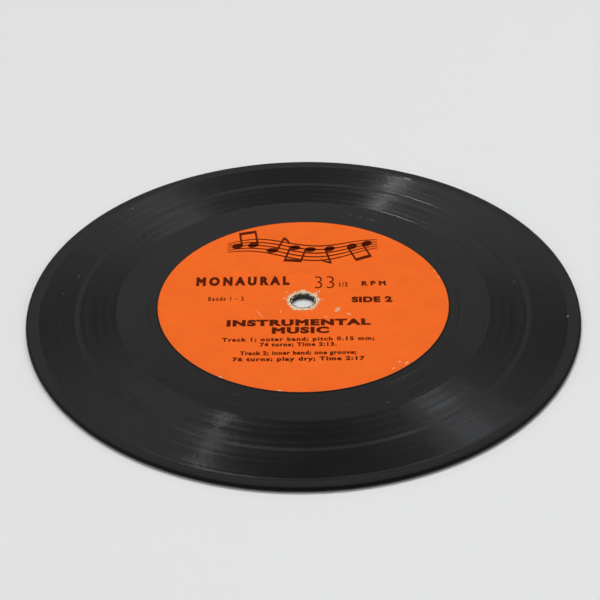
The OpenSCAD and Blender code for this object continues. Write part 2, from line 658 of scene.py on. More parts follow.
def fibre_tree():
    """Loose flat fibres scattered round the hole."""
    graph, given = new_tree("Geometry", "Torn Fibres", {
        "Int": ("Count", "Seed"),
        "Float": ("Inner Radius", "Outer Radius", "Height", "Length", "Width", "Thickness"),
        "Material": ("Material",),
    }, GEOMETRY)

    def chance(low, high, extra):
        """A random number for each fibre."""
        return graph.value("FunctionNodeRandomValue", {"Seed": given["Seed"] + extra, 2: low, 3: high}, 1)

    across, along = graph.direction(chance(0.0, math.tau, 0))
    # The fibres lie more closely towards the hole
    out = graph.math("POWER", chance(0.0, 1.0, 10), 1.6)
    radius = given["Inner Radius"] + out * (given["Outer Radius"] - given["Inner Radius"])
    place = graph.join(radius * across, radius * along, given["Height"])
    points = graph.value("GeometryNodePoints", {"Count": given["Count"], "Position": place})
    # The bow is as thick as it is long until each fibre's own sizes flatten it
    bow = graph.value(
        "GeometryNodeCurveQuadraticBezier",
        {"Resolution": 5, "Start": (-0.5, -0.1, 0), "Middle": (0.1, 0.25, 0), "End": (0.5, -0.05, 0)},
    )
    section = graph.value("GeometryNodeCurvePrimitiveCircle", {"Resolution": 5, "Radius": 0.5})
    one = graph.value(
        "GeometryNodeCurveToMesh", {"Curve": bow, "Profile Curve": section, "Fill Caps": True}
    )
    size = graph.join(
        given["Length"] * chance(0.4, 1.0, 20), given["Width"] * chance(0.3, 1.0, 30), given["Thickness"]
    )
    turn = graph.join(0.0, 0.0, chance(0.0, math.tau, 40))
    fibres = graph.value(
        "GeometryNodeInstanceOnPoints",
        {"Points": points, "Instance": one, "Scale": size, "Rotation": turn},
    )
    return finish_tree(graph, fibres, given["Material"])


# Materials

# Fibres of the paper per mm, across their length
FIBRE_SCALE = 5.0
PLAIN_SPECULAR = 0.5
# Marks on the upper side of the vinyl: centre in mm, length, width, turn in degrees, strength
VINYL_MARKS = (
    ((-58.8, 56.5), 0.8, 0.6, 30, 0.7), ((-72.9, 15.4), 2.6, 0.25, 84, 0.35),
    ((-76.9, 6.0), 0.7, 0.5, 0, 0.5), ((68.1, 9.4), 0.8, 0.5, 60, 0.35), ((82.5, -10.0), 1.0, 0.6, 80, 0.8),
    ((37.8, 74.1), 3.4, 0.7, 153, 1.0), ((24.0, 47.2), 2.0, 0.25, 153, 0.5),
    ((20.2, 49.2), 1.6, 0.2, 158, 0.4), ((16.4, 50.4), 1.2, 0.25, 162, 0.4),
    ((24.3, -51.0), 1.1, 0.4, 20, 0.25), ((-52.0, 40.2), 0.7, 0.5, 50, 0.3),
    ((46.0, -58.0), 1.8, 0.2, 35, 0.25), ((-30.6, -62.5), 1.6, 0.2, 150, 0.25),
)
# Wear on the upper label: centre in mm, length, width, turn in degrees
LABEL_SCUFFS = (
    ((10.8, -5.0), 3.0, 1.3, 62), ((14.4, -7.6), 1.9, 0.5, -48), ((7.0, -8.9), 1.6, 0.35, -8),
    ((-7.0, -5.7), 1.8, 0.22, 78), ((-13.6, -7.1), 5.4, 0.16, -62), ((30.9, -32.7), 1.5, 0.7, 40),
    ((28.7, -32.1), 1.0, 0.45, 10), ((26.8, -35.2), 1.1, 0.4, 50), ((-24.8, -38.5), 1.5, 0.5, -30),
    ((-7.3, -45.2), 2.2, 0.35, -8), ((43.0, 15.6), 0.9, 0.45, 70), ((43.9, 12.2), 1.0, 0.4, 75),
    ((-5.1, 4.6), 0.9, 0.6, 60), ((5.2, 4.8), 1.1, 0.5, 80), ((4.2, 4.2), 1.0, 0.7, 45),
    ((-5.9, 1.4), 0.9, 0.6, 70), ((6.1, 0.6), 0.9, 0.5, 85),
)


def wear_group(name):
    """Dust, haze and hairlines on pressed vinyl, from a place in millimetres."""
    graph, given = new_tree(
        "Shader", name, {"Vector": ("Place",), "Float": ("Speck Size", "Speck Share")},
        {"Float": ("Dust", "Haze", "Height")},
    )
    place = given["Place"]
    cells = graph.outputs_of(graph.node(
        "ShaderNodeTexVoronoi", {"Vector": place, "Scale": 0.55, "Randomness": 1.0}
    ))
    chance = graph.value("ShaderNodeSeparateColor", {0: cells["Color"]})
    chosen = graph.math("LESS_THAN", chance, given["Speck Share"])
    near = 1.0 - graph.blur(cells["Distance"], given["Speck Size"] * 0.6, given["Speck Size"])
    dust = near * chosen
    hairs = 0.0
    for turn, scale in ((0.35, 0.5), (1.45, 0.6), (2.5, 0.45)):
        cloud = graph.grain(graph.stretched(place, turn, 0.035), scale, 3.0)
        hair = 1.0 - graph.blur(graph.math("ABSOLUTE", cloud - 0.5), 0.0, 0.006)
        hairs = graph.math("MAXIMUM", hairs, hair)
    graph.end({
        "Dust": dust, "Haze": graph.blur(graph.grain(place, 0.045, 5.0, 0.6), 0.42, 0.72),
        "Height": dust - hairs * 0.3,
    })
    return graph.tree


def fibre_group(name):
    """The fibres and mottling of label paper, from a place in millimetres."""
    graph, given = new_tree(
        "Shader", name, {"Vector": ("Place",), "Float": ("Fibre Scale",)},
        {"Float": ("Fibre", "Mottle", "Bare Specks")},
    )
    place = given["Place"]
    cloud = graph.value(
        "ShaderNodeTexNoise", {"Vector": place, "Scale": 1.2, "Detail": 1.0}, "Color"
    )
    bent = graph.vector("ADD", place, graph.scaled(cloud, 0.8))
    first, second, third = (
        graph.grain(graph.stretched(bent, turn, 0.18), given["Fibre Scale"], 3.0, 0.65)
        for turn in (0.2, 1.3, 2.3)
    )
    graph.end({
        "Fibre": (first + second + third) * (1 / 3),
        "Mottle": graph.grain(place, 0.12, 5.0, 0.6),
        "Bare Specks": graph.blur(graph.grain(place, 2.6, 3.0, 0.6), 0.71, 0.75),
    })
    return graph.tree


def scuff_group(name):
    """One scuff: 1 inside a ragged oval of that length and width round a centre, in millimetres."""
    graph, given = new_tree(
        "Shader", name,
        {"Vector": ("Place", "Centre"), "Float": ("Length", "Width", "Turn", "Ragged")},
        {"Float": ("Scuff",)},
    )
    place = given["Place"]
    offset = graph.vector("SUBTRACT", place, given["Centre"])
    turned = graph.value(
        "ShaderNodeVectorRotate", {"Vector": offset, "Angle": given["Turn"]}, rotation_type="Z_AXIS"
    )
    along, across, _ = graph.parts(turned)
    reach = graph.reach(along * 2.0 / given["Length"], across * 2.0 / given["Width"])
    ragged = graph.around(graph.grain(place, 3.2, 3.0, 0.7), given["Ragged"], reach)
    broken = graph.blur(graph.grain(place, 5.5, 2.0, 0.6), 0.38, 0.5)
    graph.end({"Scuff": (1.0 - graph.blur(ragged, 0.8, 1.0)) * broken})
    return graph.tree


GROUP_MAKERS = {"Vinyl Wear": wear_group, "Paper Fibre": fibre_group, "Scuff": scuff_group}


def scuffed(graph, place, marks, ragged, side, worn):
    """Wear from 0 to 1 with all marks added, each at its strength, where side is 1."""
    flat = graph.vector("MULTIPLY", place, (1, 1, 0))
    for centre, long, wide, turn, strength in marks:
        mark = graph.group("Scuff", {
            "Place": flat, "Centre": (*centre, 0), "Length": long, "Width": wide,
            "Turn": -math.radians(turn), "Ragged": ragged,
        })
        worn = graph.math("MAXIMUM", worn, mark["Scuff"] * strength * side)
    return worn


def new_material(name):
    """A material, the graph of its nodes, its Principled shader, and the place on a piece in mm."""
    material = bpy.data.materials.new(name)
    material.use_nodes = True
    material.node_tree.nodes.clear()
    graph = Graph(material.node_tree)
    shader = graph.node("ShaderNodeBsdfPrincipled")
    graph.node("ShaderNodeOutputMaterial", {"Surface": Value(graph, shader.outputs[0])})
    place = graph.scaled(graph.value("ShaderNodeTexCoord", output="Object"), 1 / MM)
    return material, graph, shader, place


def dress(graph, shader, base, roughness, specular, bump=None):
    """Gives a shader its colour, roughness and specular level, and a bump from a normal."""
    graph.put(shader.inputs["Base Color"], base)
    graph.put(shader.inputs["Roughness"], roughness)
    graph.put(shader.inputs["Specular IOR Level"], specular)
    if bump:
        graph.put(shader.inputs["Normal"], bump)


def vinyl_material(name, colours, roughness, haze_roughness, ring_change=0.0, anisotropy=0.0):
    """Black vinyl, glossy where it is plain and stretched in its gloss where grooves run."""
    material, graph, shader, place = new_material(name)
    worn = graph.group("Vinyl Wear", {"Place": place, "Speck Size": 0.06, "Speck Share": 0.12})
    across, along, height = graph.parts(place)
    upper = graph.math("GREATER_THAN", height, CAD_HIGH.z / 2 / MM)
    dirt = scuffed(graph, place, VINYL_MARKS, 0.8, upper, worn["Dust"] * 0.6)
    level = worn["Haze"] * haze_roughness + roughness
    if ring_change:
        level = graph.around(graph.line_grain(graph.reach(across, along), 0.4, 4.0), ring_change, level)
    level = level + worn["Dust"] * 0.35
    normal = graph.bump(worn["Height"], 0.35, 0.01)
    if anisotropy:
        # The pressing is not quite flat, which breaks up the streaks of light
        normal = graph.bump(graph.grain(place, 0.16, 3.0, 0.6), 1.0, 0.09, Normal=normal)
        tangent = graph.value("ShaderNodeTangent", direction_type="RADIAL", axis="Z")
        graph.put(shader.inputs["Anisotropic"], anisotropy)
        graph.put(shader.inputs["Anisotropic Rotation"], 0.25)
        graph.put(shader.inputs["Tangent"], tangent)
    graph.put(shader.inputs["IOR"], 1.54)
    base = graph.mix(dirt, rgba(colours.vinyl), rgba(colours.dust))
    dress(graph, shader, base, level, PLAIN_SPECULAR, normal)
    return material


def edge_material(colours):
    """The trimmed round edge of the disc: duller than the pressed faces, with fine marks along it."""
    material, graph, shader, place = new_material("Trimmed Edge")
    worn = graph.group("Vinyl Wear", {"Place": place, "Speck Size": 0.08, "Speck Share": 0.2})
    across, along, height = graph.parts(place)
    around = graph.math("ARCTAN2", along, across)
    marks = graph.grain(graph.join(around * 6.0, height, 0.0), 5.0, 3.0, 0.6)
    base = graph.mix(worn["Dust"] * 0.4, rgba(colours.vinyl), rgba(colours.dust))
    dress(graph, shader, base, marks * 0.25 + 0.45, 0.14, graph.bump(marks, 0.4, 0.02))
    return material


def bare_paper(graph, place, colours, shade, unshaded, fibre_shade):
    """The paper's core in a shade, cream up to the unshaded level of a cloud and, from the fibre_shade level,
    grey: painted shade between its fibres.
    """
    # The grey is painted shade between the fibres, laid where the cloud is high
    fibre_shade_mask = graph.blur(graph.grain(place, 1.7, 3.0, 0.7), unshaded, fibre_shade)
    return graph.shaded(shade, graph.mix(fibre_shade_mask, rgba(colours.torn), rgba(colours.fibre_shade)))


def paper_material(colours):
    """Printed orange paper, torn to its core round the hole and scuffed in places."""
    material, graph, shader, place = new_material("Label Paper")
    fibres = graph.group("Paper Fibre", {"Place": place, "Fibre Scale": FIBRE_SCALE})
    torn = graph.value("ShaderNodeAttribute", output="Fac", attribute_name="torn")
    upper = graph.value("ShaderNodeAttribute", output="Fac", attribute_name="upper")
    full_scuffs = [(*scuff, 1.0) for scuff in LABEL_SCUFFS]
    bare = scuffed(graph, place, full_scuffs, 1.9, upper, torn)
    shade = graph.around(fibres["Mottle"], 0.22, graph.around(fibres["Fibre"], 0.5))
    printed = graph.shaded(shade, rgba(colours.paper))
    core_shade = graph.around(graph.grain(place, 2.6, 3.0, 0.7), 1.6)
    # The bare core carries the grey of painted shade between its fibres
    core = bare_paper(graph, place, colours, core_shade, 0.44, 0.66)
    bump = graph.bump(fibres["Fibre"] - bare * 0.6, 0.5, 0.02)
    dress(graph, shader, graph.mix(bare, printed, core), bare * 0.3 + 0.5, 0.05, bump)
    return material


def core_material(colours):
    """Loose fibres of the paper's core, from cream to the grey of painted shade."""
    material, graph, shader, place = new_material("Torn Fibre")
    fibres = graph.group("Paper Fibre", {"Place": place, "Fibre Scale": FIBRE_SCALE})
    shade = graph.around(graph.grain(place, 1.1), 1.2)
    base = bare_paper(graph, place, colours, shade, 0.48, 0.7)
    dress(graph, shader, base, 0.85, 0.1, graph.bump(fibres["Fibre"], 0.5, 0.02))
    return material


def ink_material(colours):
    """Dark ink that lets a little of the paper through."""
    material, graph, shader, place = new_material("Label Ink")
    fibres = graph.group("Paper Fibre", {"Place": place, "Fibre Scale": FIBRE_SCALE})
    thin = fibres["Bare Specks"] * 0.5 + graph.blur(fibres["Fibre"], 0.45, 0.7) * 0.12
    base = graph.mix(thin, rgba(colours.ink), rgba(colours.paper))
    bump = graph.bump(fibres["Fibre"], 0.4, 0.01)
    dress(graph, shader, base, fibres["Fibre"] * 0.3 + 0.45, 0.02, bump)
    return material


def floor_material(colours):
    """A pale matt floor with a very faint unevenness."""
    material, graph, shader, place = new_material("Studio Floor")
    shade = graph.around(graph.grain(place, 0.004, 3.0), 0.02)
    dress(graph, shader, graph.shaded(shade, rgba(colours.floor)), 1.0, 0.0)
    return material


# Print on the labels. Each line: words, left, right, middle height, capital height in mm, then how
# much bolder its strokes are than the font's, or thinner below 0, and the spacing of its letters
SHARED_LINES = (
    ("MONAURAL", -34.4, -4.3, 11.2, 5.0, 0.075, 1.6),
    ("33", 3.8, 10.1, 10.0, 6.6, -0.012, 1.05),
    ("1/3", 11.7, 14.4, 8.6, 2.5, 0.02, 1.1),
    ("RPM", 18.9, 26.7, 9.1, 2.7, 0.055, 1.7),
    ("INSTRUMENTAL", -23.9, 20.9, -11.7, 3.4, 0.07, 1.2),
    ("MUSIC", -9.8, 7.9, -15.7, 3.4, 0.07, 1.2),
)
UPPER_LINES = (
    ("Bands 1 - 2", -30.2, -18.8, 1.5, 2.1, 0.035, 1.3),
    ("SIDE 2", 15.4, 28.3, 0.2, 3.2, 0.07, 1.15),
    ("Track 1; outer band; pitch 0.15 mm;", -25.0, 21.7, -20.2, 2.0, 0.055, 1.25),
    ("74 turns; Time 2:13.", -13.4, 10.1, -22.9, 2.0, 0.055, 1.2),
    ("Track 2; inner band; one groove;", -19.4, 15.9, -27.1, 2.0, 0.055, 1.15),
    ("76 turns; play dry; Time 2:17", -21.6, 18.4, -30.1, 2.0, 0.055, 1.2),
)
LOWER_LINES = (
    ("SIDE 1", 15.4, 28.3, 0.2, 3.2, 0.07, 1.15),
    ("Track 1; outer band; 74 turns", -19.4, 15.9, -21.6, 2.0, 0.055, 1.2),
    ("Track 2; inner band; 76 turns", -19.4, 15.9, -25.4, 2.0, 0.055, 1.2),
)
# The ribbon of five lines: its waves and where they start, how far its ends draw in, and its steps
RIBBON_WAVES = 1.15
RIBBON_PHASE = 0.4
RIBBON_TAPER = 1.8
RIBBON_STEPS = 96
# Notes on it: kind, where the first lies as a share of its length, how many there are, and their seed
NOTE_ROWS = (("pair", 0.12, 3, 5), ("single", 0.3, 2, 6))
NOTE_STRIDE = 0.38
# Each overlapping part of a note lies this much lower than the one before
NOTE_LAYER = 0.0006 * MM


def text_mesh(words, weight, spacing):
    """The mesh of some words in the built-in font, at size 1."""
    curve = bpy.data.curves.new("words", "FONT")
    curve.body = words
    curve.size = 1.0
    curve.bevel_depth = max(weight, 0.0)
    curve.offset = min(weight, 0.0)
    curve.bevel_resolution = 0
    curve.space_character = spacing
    curve.resolution_u = 4
    curve.extrude = 0.05
    mesh = plain_mesh(link_object("words", curve))
    bpy.data.curves.remove(curve)
    # The faces and the sides of the letters come apart, so their seams are welded
    seamless = bmesh.new()
    seamless.from_mesh(mesh)
    bmesh.ops.remove_doubles(seamless, verts=seamless.verts, dist=LETTER_SEAM)
    seamless.to_mesh(mesh)
    seamless.free()
    return mesh


def mesh_box(mesh):
    """Lowest and highest corner of a mesh."""
    low = [min(v.co[i] for v in mesh.vertices) for i in range(3)]
    high = [max(v.co[i] for v in mesh.vertices) for i in range(3)]
    return low, high


def join_meshes(name, meshes):
    """One mesh from several."""
    points = []
    faces = []
    for mesh in meshes:
        first = len(points)
        points += [tuple(v.co) for v in mesh.vertices]
        faces += [tuple(first + i for i in p.vertices) for p in mesh.polygons]
    return mesh_of(name, points, faces)


def print_words(lines, low, high):
    """The meshes of all lines, between two heights."""
    capital_low, capital_high = mesh_box(text_mesh("H", 0.0, 1.0))
    capital = capital_high[1] - capital_low[1]
    made = []
    for words, left, right, middle, height, weight, spacing in lines:
        mesh = text_mesh(words, weight, spacing)
        box_low, box_high = mesh_box(mesh)
        scale_x = (right - left) * MM / (box_high[0] - box_low[0])
        scale_y = height * MM / (capital + 2 * weight)
        scale_z = (high - low) / (box_high[2] - box_low[2])
        shift = Vector((
            left * MM - box_low[0] * scale_x,
            (middle - height / 2) * MM + weight * scale_y,
            low - box_low[2] * scale_z,
        ))
        mesh.transform(Matrix.Translation(shift) @ Matrix.Diagonal((scale_x, scale_y, scale_z, 1)))
        made.append(mesh)
    return made


def ribbon_phase(part):
    """The angle of the ribbon's wave at a share of its length."""
    return part * (math.tau * RIBBON_WAVES) + RIBBON_PHASE


def ribbon_place(graph, given, part, line):
    """Where one line of the ribbon runs at a share of its length: x, y and how far its ends draw in."""
    off = part - 0.5
    taper = off * off * -RIBBON_TAPER + 1.0
    wave = graph.math("SINE", ribbon_phase(part))
    y = given["Middle"] + wave * given["Sway"] + line * given["Gap"] * taper
    return off * given["Length"], y, taper


def ribbon_tree():
    """One line of a waving ribbon of five, as thin solid ink."""
    graph, given = new_tree("Geometry", "Ribbon Line", {
        "Float": ("Length", "Middle", "Gap", "Sway", "Line", "Line Width", "Low", "High"),
        "Int": ("Steps",),
        "Material": ("Material",),
    }, GEOMETRY)
    columns = 2
    step, column = grid_place(graph, columns)
    x, y, taper = ribbon_place(graph, given, step / given["Steps"], given["Line"])
    side = column * 2.0 - 1.0
    place = graph.join(x, side * (given["Line Width"] * taper * 0.5) + y, given["Low"])
    strip = placed_grid(graph, given["Steps"] + 1, columns, place)
    # A solid from the strip: its raised faces with their walls, and the strip itself turned to face down
    raised = graph.value(
        "GeometryNodeExtrudeMesh",
        {
            "Mesh": strip, "Offset": graph.join(0.0, 0.0, given["High"] - given["Low"]),
            "Offset Scale": 1.0, "Individual": False,
        },
        mode="FACES",
    )
    under = graph.value("GeometryNodeFlipFaces", {"Mesh": strip})
    return finish_tree(graph, welded(graph, under, raised), given["Material"])


def notes_tree():
    """Copies of one printed note along the ribbon, turned over where they sit above its middle."""
    graph, given = new_tree("Geometry", "Notes On Ribbon", {
        "Geometry": ("Geometry",),
        "Float": ("Length", "Middle", "Gap", "Sway", "First", "Stride"),
        "Int": ("Count", "Seed"),
        "Material": ("Material",),
    }, GEOMETRY)
    index = graph.value("GeometryNodeInputIndex")
    part = index * given["Stride"] + given["First"]
    # Notes sit on a line or between two lines
    chosen = graph.value(
        "FunctionNodeRandomValue", {"ID": index, "Seed": given["Seed"], 4: -2, 5: 2}, 2, data_type="INT"
    )
    line = chosen * 0.5
    x, y, _ = ribbon_place(graph, given, part, line)
    steepest = given["Sway"] * (math.tau * RIBBON_WAVES) / given["Length"]
    slope = graph.math("COSINE", ribbon_phase(part)) * steepest
    turn = graph.math("ARCTANGENT", slope) + graph.math("GREATER_THAN", line, 0.25) * math.pi
    points = graph.value("GeometryNodePoints", {"Count": given["Count"], "Position": graph.join(x, y, 0.0)})
    notes = graph.value(
        "GeometryNodeInstanceOnPoints",
        {"Points": points, "Instance": given["Geometry"], "Rotation": graph.join(0.0, 0.0, turn)},
    )
    return finish_tree(graph, notes, given["Material"])


def plate(outline, low, high):
    """A flat solid between two heights from an outline in mm, counter-clockwise."""
    sides = len(outline)
    points = [(x * MM, y * MM, z) for z in (low, high) for x, y in outline]
    faces = [tuple(reversed(range(sides))), tuple(range(sides, 2 * sides))]
    for i in range(sides):
        after = (i + 1) % sides
        faces.append((i, after, after + sides, i + sides))
    return mesh_of("plate", points, faces)


def note_meshes(kind, labels, low, high):
    """The parts of one printed note round its head, in mm: a pair under one beam, or one with a flag."""
    half_long = labels.note_l / MM / 2
    half_wide = labels.note_w / MM / 2
    stem = labels.note_stem / MM
    stroke = labels.note_stroke / MM
    lean = math.radians(24)
    head_steps = 28
    # From a head's middle to the right side of its stem, and up to the stem's foot
    stem_at = half_long * 0.93
    foot = 0.3

    def head(centre):
        """The leaning oval of a note's head."""
        outline = []
        for i in range(head_steps):
            turn = math.tau * i / head_steps
            along = math.cos(turn) * half_long
            across = math.sin(turn) * half_wide
            outline.append((
                centre + along * math.cos(lean) - across * math.sin(lean),
                along * math.sin(lean) + across * math.cos(lean),
            ))
        return plate(outline, low, high)

    def bar(centre, top):
        """A stem whose foot is in the head's right side."""
        right = centre + stem_at
        outline = [(right - stroke, foot), (right, foot), (right, top), (right - stroke, top)]
        return plate(outline, low, high - NOTE_LAYER)

    if kind == "pair":
        half_apart = labels.note_pair / MM / 2
        rise = 0.7
        beam = 1.5
        over = 0.1
        first = stem_at - half_apart - stroke
        last = stem_at + half_apart
        outline = [
            (first, stem - rise - beam), (last, stem - beam), (last, stem + over), (first, stem - rise + over)
        ]
        heads = [head(-half_apart), head(half_apart)]
        return [*heads, bar(-half_apart, stem - rise), bar(half_apart, stem),
                plate(outline, low, high - 2 * NOTE_LAYER)]

    reach = 2.4
    drop = 3.6
    curl = math.pi * 0.62
    thick = 1.3
    flag_steps = 8
    outer = []
    inner = []
    for i in range(flag_steps + 1):
        part = i / flag_steps
        x = stem_at + reach * math.sin(part * curl)
        outer.append((x, stem - drop * part))
        inner.append((max(x - 0.15 - 0.1 * part, stem_at - stroke), stem - drop * part - thick * (1 - part)))
    flag = plate([*reversed(outer), *inner], low, high - 2 * NOTE_LAYER)
    return [head(0.0), bar(0.0, stem), flag]


def build_print(name, lines, ink, labels, disc, trees):
    """The print of one label, as it lies on the upper side."""
    face = disc.disc_t - labels.face_drop
    low = face - labels.ink_sunk
    high = face + labels.ink_h
    ribbon, notes = trees
    meshes = print_words(lines, low, high)
    shape = {
        "Length": labels.ribbon_l, "Middle": labels.ribbon_y, "Gap": labels.ribbon_gap,
        "Sway": labels.ribbon_sway, "Material": ink,
    }
    for line in (-2.0, -1.0, 0.0, 1.0, 2.0):
        meshes.append(grown_mesh(ribbon, "ribbon", {
            **shape, "Line": line, "Line Width": labels.ribbon_line, "Low": low, "High": high,
            "Steps": RIBBON_STEPS,
        }))
    for kind, first, number, seed in NOTE_ROWS:
        note = join_meshes(kind, note_meshes(kind, labels, low, high))
        values = {**shape, "First": first, "Stride": NOTE_STRIDE, "Count": number, "Seed": seed}
        meshes.append(grown_mesh(notes, kind, values, note))
    mesh = join_meshes(name, meshes)
    mesh.materials.append(ink)
    return mesh


# How the torn paper reaches out round the hole: direction in degrees, spread in degrees, reach in mm
TORN_LOBES = ((92, 12, 0.75), (40, 9, 0.3), (8, 14, 0.3), (232, 14, 0.5), (300, 12, 0.4), (170, 6, 0.35))
# The section of the ring left by the press, as shares of its half width and of its depth
RING_SECTION = ((-1.0, 0.0), (-0.4, 0.8), (0.0, 1.0), (0.4, 0.8), (1.0, 0.0))
# Radii in mm at which the plain paper inside and outside that ring has points
PLAIN_INSIDE = 11.0
PLAIN_OUTSIDE = (22.0, 30.0, 38.0, 43.0)


def torn_edge(azimuth, labels):
    """The mean radius at which the printed layer ends, round the hole."""
    reach = 0.0
    for centre, spread, far in TORN_LOBES:
        away = (math.degrees(azimuth) - centre + 180) % 360 - 180
        reach += far * math.exp(-((away / spread) ** 2))
    return labels.torn_r + reach * MM


def torn_part(azimuth, radius, labels):
    """How far the printed layer is gone at a place round the hole, from 0 to 1."""
    place = Vector((radius * math.cos(azimuth), radius * math.sin(azimuth), 0.0))
    ragged = noise.fractal(place / labels.torn_grain, 0.7, 2.1, 4) * labels.torn_change
    return min(1.0, max(0.0, (torn_edge(azimuth, labels) + ragged - radius) / labels.torn_soft + 0.5))


def paper_hole(azimuth, labels):
    """The radius of the worn hole in the paper."""
    place = Vector((math.cos(azimuth), math.sin(azimuth), 4.0))
    return labels.hole_r + abs(noise.fractal(place * 5.0, 0.7, 2.0, 4)) * labels.hole_change


def paper_rings(azimuth, labels):
    """The (radius, drop, torn) points of the paper's face from the hole outwards."""
    hole = paper_hole(azimuth, labels)
    fine_steps = 40
    round_steps = 3
    points = []
    for i in range(fine_steps):
        radius = hole + (labels.torn_end - hole) * i / fine_steps
        torn = torn_part(azimuth, radius, labels)
        place = Vector((math.cos(azimuth), math.sin(azimuth), 1.0)) * radius
        fluff = noise.fractal(place / labels.torn_grain * 2.2, 0.8, 2.0, 3)
        points.append((radius, torn * labels.torn_h * (0.55 + 0.45 * fluff), torn))
    points += [(labels.torn_end, 0.0, 0.0), (PLAIN_INSIDE * MM, 0.0, 0.0)]
    for across, deep in RING_SECTION:
        points.append((labels.ring_r + labels.ring_w / 2 * across, labels.ring_h * deep, 0.0))
    points += [(radius * MM, 0.0, 0.0) for radius in PLAIN_OUTSIDE]
    for i in range(round_steps + 1):
        turn = math.pi / 2 * i / round_steps
        points.append((
            labels.label_r - labels.edge_round * (1 - math.sin(turn)),
            labels.edge_round * (1 - math.cos(turn)), 0.0,
        ))
    return points


# Operators


class RECORD_OT_vinyl_body(bpy.types.Operator):
    """Presses the disc: hole, label seats, ridge, beds for the grooved rings and rim bead"""

    bl_idname = "record.vinyl_body"
    bl_label = "Vinyl Body"

    def execute(self, context):
        disc, grooves, labels, colours, _ = record_sizes(context)
        outline = body_outline(disc, labels, band_edges(disc, grooves))
        mesh = round_mesh("vinyl_body", [outline] * disc.segments)
        smooth_mesh(mesh, 30)
        mesh.materials.append(vinyl_material("Polished Vinyl", colours, 0.09, 0.07))
        mesh.materials.append(edge_material(colours))
        edge_at = disc.disc_r - disc.bead_t / 2
        foot = labels.label_r + disc.label_gap + disc.ridge_w + disc.shoulder_run
        for face in mesh.polygons:
            radius = math.hypot(face.center.x, face.center.y)
            if radius > edge_at or labels.label_r < radius < foot:
                face.material_index = 1
        add_piece("vinyl_body", mesh, ["vinyl_disc"])
        return {"FINISHED"}


class RECORD_OT_grooved_rings(bpy.types.Operator):
    """Cuts the lead-in, the two tracks, the spacer and the lead-out of both sides"""

    bl_idname = "record.grooved_rings"
    bl_label = "Grooved Rings"

    def execute(self, context):
        disc, grooves, _, colours, _ = record_sizes(context)
        edges = band_edges(disc, grooves)
        tree = band_tree()
        plain = bpy.data.materials.get("Polished Vinyl")
        cut = vinyl_material("Grooved Vinyl", colours, 0.2, 0.04, 0.4, 1.0)
        between = vinyl_material("Spacer Vinyl", colours, 0.12, 0.03, 0.0, 1.0)
        top = disc.disc_t / 2 + disc.playing_t / 2
        rings = (
            ("lead_in", grooves.lead_in_pitch, between), ("outer_track", grooves.pitch, plain),
            ("spacer", grooves.spacer_pitch, between), ("inner_track", grooves.pitch, plain),
            ("lead_out", grooves.lead_out_pitch, plain),
        )
        for i, (name, pitch, flat) in enumerate(rings):
            is_track = name.endswith("track")
            turns = (edges[i] - edges[i + 1]) / pitch + 1
            values = {
                "Outer Radius": edges[i], "Inner Radius": edges[i + 1], "Pitch": pitch,
                "Groove Width": grooves.groove_w if is_track else grooves.wide_w,
                "Groove Angle": grooves.groove_angle, "Top": top, "Bottom": top - disc.bed_h,
                "Start": grooves.start, "Swing": grooves.swing if is_track else 0.0,
                "Swing Scale": grooves.swing_scale,
                "Width Change": grooves.width_change if is_track else 0.0,
                "Loudness Scale": grooves.loud_scale, "Steps": disc.segments,
                "Total Steps": math.ceil(turns * disc.segments),
                "Flat Material": flat, "Wall Material": cut,
            }
            for side, extra_seed in (("upper", 0.0), ("lower", 2.0)):
                mesh = grown_mesh(tree, name, {**values, "Seed": 0.3 * i + extra_seed})
                if side == "lower":
                    under_side(mesh, disc.disc_t)
                add_piece(f"{name}_{side}", mesh, ["vinyl_disc"])
        return {"FINISHED"}


class RECORD_OT_label_papers(bpy.types.Operator):
    """Lays the two paper labels, with their worn hole and the ring of the press"""

    bl_idname = "record.label_papers"
    bl_label = "Label Papers"

    def execute(self, context):
        disc, _, labels, colours, _ = record_sizes(context)
        material = paper_material(colours)
        core = core_material(colours)
        face = disc.disc_t - labels.face_drop
        seat = disc.disc_t - labels.label_t
        outlines = []
        torn_parts = []
        for step in range(labels.segments):
            points = paper_rings(math.tau * step / labels.segments, labels)
            section = [(radius, face - drop) for radius, drop, _ in points]
            outlines.append(section + [(points[-1][0], seat), (points[0][0], seat)])
            torn_parts += [part for _, _, part in points] + [0.0, points[0][2]]
        fibres = fibre_tree()
        for side, node, is_upper, seed in (("upper", "label_top", 1.0, 3), ("lower", "label_bottom", 0.0, 8)):
            mesh = round_mesh(f"label_paper_{side}", outlines)
            for name, values in (("torn", torn_parts), ("upper", [is_upper] * len(torn_parts))):
                mesh.attributes.new(name, "FLOAT", "POINT").data.foreach_set("value", values)
            smooth_mesh(mesh, 40)
            mesh.materials.append(material)
            loose = grown_mesh(fibres, "fibres", {
                "Count": labels.fibres, "Seed": seed,
                "Inner Radius": disc.hole_r + disc.hole_break, "Outer Radius": labels.torn_r,
                "Height": disc.disc_t - disc.collar_drop, "Length": labels.fibre_l,
                "Width": labels.fibre_w, "Thickness": labels.fibre_h, "Material": core,
            })
            if side == "lower":
                under_side(mesh, disc.disc_t)
                under_side(loose, disc.disc_t)
            add_piece(f"label_paper_{side}", mesh, [node])
            add_piece(f"torn_fibres_{side}", loose)
        return {"FINISHED"}


class RECORD_OT_label_prints(bpy.types.Operator):
    """Prints both labels: plain markings and a waving ribbon of lines with notes"""

    bl_idname = "record.label_prints"
    bl_label = "Label Prints"

    def execute(self, context):
        disc, _, labels, colours, _ = record_sizes(context)
        ink = ink_material(colours)
        trees = ribbon_tree(), notes_tree()
        for side, lines in (("upper", UPPER_LINES), ("lower", LOWER_LINES)):
            name = f"label_print_{side}"
            mesh = build_print(name, SHARED_LINES + lines, ink, labels, disc, trees)
            if side == "lower":
                under_side(mesh, disc.disc_t)
            add_piece(name, mesh)
        return {"FINISHED"}


PLAIN_LIGHT = (1.0, 1.0, 1.0)
WARM_LIGHT = (1.03, 1.0, 0.95)
COOL_LIGHT = (0.95, 1.0, 1.05)
